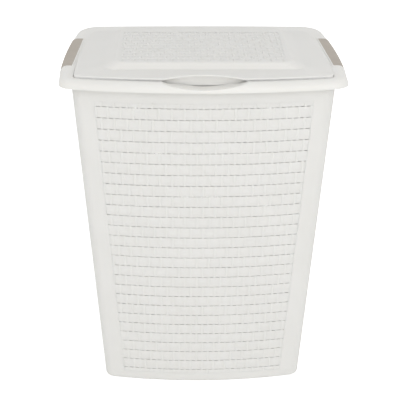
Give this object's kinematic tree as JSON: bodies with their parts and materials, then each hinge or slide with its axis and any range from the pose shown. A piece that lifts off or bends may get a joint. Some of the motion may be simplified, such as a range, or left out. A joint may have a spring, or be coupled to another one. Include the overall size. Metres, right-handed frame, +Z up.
{
  "type": "laundry hamper with lid",
  "caption": "Tapered plastic laundry hamper with a woven-look wall, a rim frame with soft side grips, and a crowned lid hinged at the back with a finger opening in front",
  "frame": {"origin": "middle of the footprint, on the floor the hamper stands on", "axes": "+Z up, -Y towards the front with the finger opening, +X to the right seen from the front"},
  "size_m": [0.445, 0.3519, 0.548],
  "materials": {
    "tub": "moulded polypropylene, off-white, satin, plain-weave relief with ventilation slits",
    "rim": "moulded polypropylene, off-white, smooth satin lip",
    "lid": "moulded polypropylene, off-white, fine satin grain, woven-look panel on the crown",
    "grip": "soft-touch thermoplastic elastomer, greige, fine matt grain",
    "pin": "moulded acetal, white, smooth"
  },
  "bodies": {
    "hamper": {"tub": "tub", "rim_frame": "rim", "left_grip": "grip", "right_grip": "grip", "left_hinge_pin": "pin", "right_hinge_pin": "pin"},
    "lid": {"lid": "lid"}
  },
  "joints": [
    {"name": "lid_hinge", "type": "hinge", "parent": "hamper", "child": "lid", "pos_m": [0, 0.117, 0.535], "axis": [-1, 0, 0], "range_deg": [0, 105]}
  ]
}
